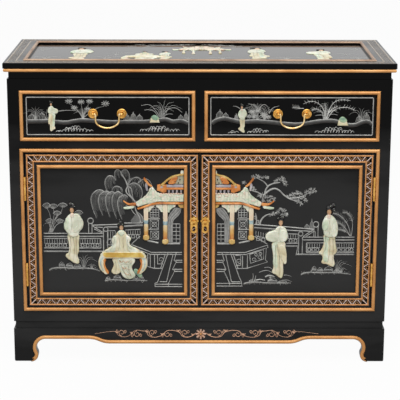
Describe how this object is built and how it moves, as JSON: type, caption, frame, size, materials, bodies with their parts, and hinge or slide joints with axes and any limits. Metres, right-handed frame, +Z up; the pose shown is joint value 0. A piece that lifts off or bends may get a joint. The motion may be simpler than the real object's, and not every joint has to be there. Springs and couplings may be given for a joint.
{
  "type": "sideboard",
  "caption": "Black lacquered sideboard with inset drawers over hinged panelled doors, gilt beading, brass pulls, a sunken top panel and shaped aprons on hoof feet.",
  "frame": {"origin": "on the floor under the middle of the top", "axes": "+X to the right seen from the front, the front faces -Y, +Z up"},
  "size_m": [1.016, 0.4365, 0.8209],
  "materials": {
    "black_lacquer": "polished black lacquer with painted and inlaid decoration",
    "gilt": "gold paint on half-round wooden bead",
    "brass": "polished brass",
    "bare_wood": "clear-sealed hardwood and plywood",
    "steel": "bright plated steel"
  },
  "bodies": {
    "cabinet": {"front_apron": "black_lacquer", "rear_apron": "black_lacquer", "left_apron": "black_lacquer", "right_apron": "black_lacquer", "base_bead": "gilt", "corner_blocks": "bare_wood", "waist_frame": "black_lacquer", "bottom_rail": "black_lacquer", "middle_rail": "black_lacquer", "top_rail": "black_lacquer", "drawer_muntin": "black_lacquer", "left_stile": "black_lacquer", "right_stile": "black_lacquer", "left_side_panel": "black_lacquer", "right_side_panel": "black_lacquer", "back_panel": "bare_wood", "case_floor": "bare_wood", "drawer_deck": "bare_wood", "drawer_partition": "bare_wood", "drawer_guides": "bare_wood", "shelf": "bare_wood", "shelf_battens": "bare_wood", "door_stop": "bare_wood", "door_magnets": "steel", "drawer_surrounds": "gilt", "door_surround": "gilt", "case_hinge_leaves": "brass", "hinge_pins": "brass", "neck_frame": "black_lacquer", "top_frame": "black_lacquer", "top_panel": "black_lacquer", "top_recess_bead": "gilt", "top_edge_bead": "gilt"},
    "left_drawer": {"left_drawer_front": "black_lacquer", "left_drawer_sides": "bare_wood", "left_drawer_back": "bare_wood", "left_drawer_bottom": "bare_wood", "left_drawer_pull_posts": "brass"},
    "left_bail": {"left_drawer_bail": "brass"},
    "left_door": {"left_door_frame": "black_lacquer", "left_door_panel": "black_lacquer", "left_door_bead": "gilt", "left_door_strike": "steel", "left_door_hinge_leaves": "brass", "left_door_pull_plate": "brass"},
    "left_drop": {"left_door_drop_pull": "brass"},
    "right_drawer": {"right_drawer_front": "black_lacquer", "right_drawer_sides": "bare_wood", "right_drawer_back": "bare_wood", "right_drawer_bottom": "bare_wood", "right_drawer_pull_posts": "brass"},
    "right_bail": {"right_drawer_bail": "brass"},
    "right_door": {"right_door_frame": "black_lacquer", "right_door_panel": "black_lacquer", "right_door_bead": "gilt", "right_door_strike": "steel", "right_door_hinge_leaves": "brass", "right_door_pull_plate": "brass"},
    "right_drop": {"right_door_drop_pull": "brass"}
  },
  "joints": [
    {"name": "left_drawer_slide", "type": "slide", "parent": "cabinet", "child": "left_drawer", "axis": [0, -1, 0], "range_m": [0, 0.28]},
    {"name": "left_bail_swing", "type": "hinge", "parent": "left_drawer", "child": "left_bail", "pos_m": [-0.24025, -0.2165, 0.685], "axis": [-1, 0, 0], "range_deg": [-8, 170]},
    {"name": "left_door_swing", "type": "hinge", "parent": "cabinet", "child": "left_door", "pos_m": [-0.4595, -0.2105, 0.36775], "axis": [0, 0, -1], "range_deg": [0, 170]},
    {"name": "left_drop_swing", "type": "hinge", "parent": "left_door", "child": "left_drop", "pos_m": [-0.015, -0.214, 0.396], "axis": [-1, 0, 0], "range_deg": [-8, 100]},
    {"name": "right_drawer_slide", "type": "slide", "parent": "cabinet", "child": "right_drawer", "axis": [0, -1, 0], "range_m": [0, 0.28]},
    {"name": "right_bail_swing", "type": "hinge", "parent": "right_drawer", "child": "right_bail", "pos_m": [0.24025, -0.2165, 0.685], "axis": [-1, 0, 0], "range_deg": [-8, 170]},
    {"name": "right_door_swing", "type": "hinge", "parent": "cabinet", "child": "right_door", "pos_m": [0.4595, -0.2105, 0.36775], "axis": [0, 0, 1], "range_deg": [0, 170]},
    {"name": "right_drop_swing", "type": "hinge", "parent": "right_door", "child": "right_drop", "pos_m": [0.015, -0.214, 0.396], "axis": [-1, 0, 0], "range_deg": [-8, 100]}
  ]
}
